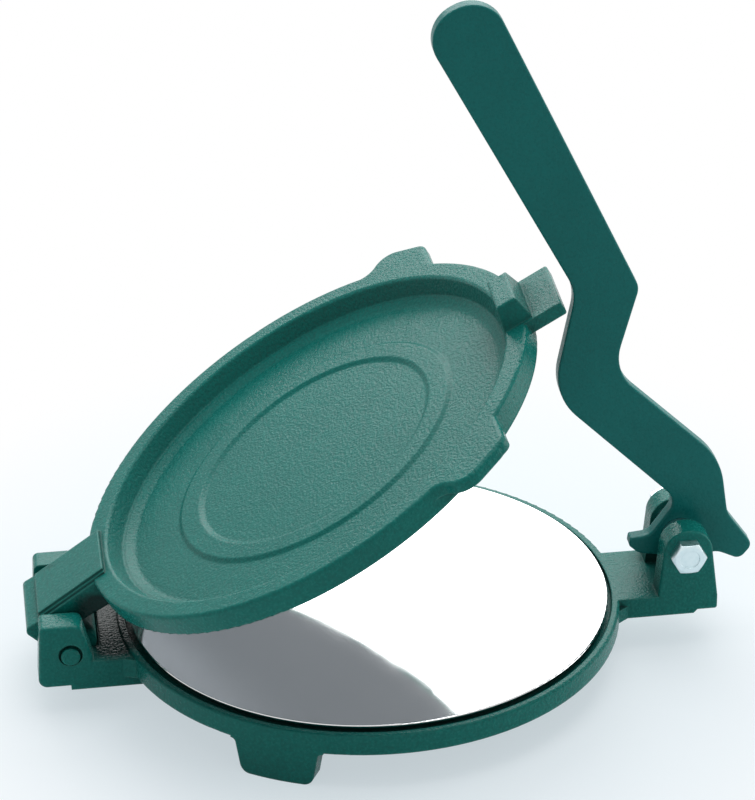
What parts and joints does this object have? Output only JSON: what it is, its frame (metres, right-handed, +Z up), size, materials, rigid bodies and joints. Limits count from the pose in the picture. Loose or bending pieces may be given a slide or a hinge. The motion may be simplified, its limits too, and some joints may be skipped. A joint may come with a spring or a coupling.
{
  "type": "puri press",
  "caption": "Hand-lever press for flattening dough balls: a round hinged plate closes on a round bed, both faced with polished steel, and a flat cranked lever stands over its nose.",
  "frame": {"origin": "under the middle of the overall box, on the plane that the feet stand on", "axes": "+X from the hinge to the lever, +Y to the rear, +Z up out of the steel bed"},
  "size_m": [0.2496, 0.172, 0.2347],
  "materials": {
    "green_casting": "stippled green powder coat on a casting",
    "green_bar": "green powder coat on flat bar",
    "painted_pin": "green paint over the ends of a steel pin",
    "polished_steel": "polished stainless steel",
    "zinc_steel": "bright zinc plate",
    "adhesive_film": "cured adhesive"
  },
  "bodies": {
    "base": {"base_casting": "green_casting", "lower_disc_bond": "adhesive_film", "lower_disc": "polished_steel", "pivot_bolt": "zinc_steel", "nut_washer": "zinc_steel", "spacer_front": "zinc_steel", "spacer_rear": "zinc_steel", "pivot_nut": "zinc_steel"},
    "hinge_pin": {"hinge_pin": "painted_pin"},
    "upper_plate": {"upper_casting": "green_casting", "upper_disc_bond": "adhesive_film", "upper_disc": "polished_steel"},
    "lever": {"lever_bar": "green_bar"}
  },
  "joints": [
    {"name": "plate_lower", "type": "hinge", "parent": "base", "child": "hinge_pin", "pos_m": [-0.11092, 0, 0.02155], "axis": [0, -1, 0], "range_deg": [-25, 0]},
    {"name": "plate_open", "type": "hinge", "parent": "hinge_pin", "child": "upper_plate", "pos_m": [-0.11092, 0, 0.02155], "axis": [0, -1, 0], "range_deg": [0, 115]},
    {"name": "lever_swing", "type": "hinge", "parent": "base", "child": "lever", "pos_m": [0.09961, 0, 0.0363], "axis": [0, -1, 0], "range_deg": [-40.75, 0]}
  ],
  "couplings": [
    {"joint": "lever_swing", "follows": "plate_lower", "ratio": 1.63}
  ]
}
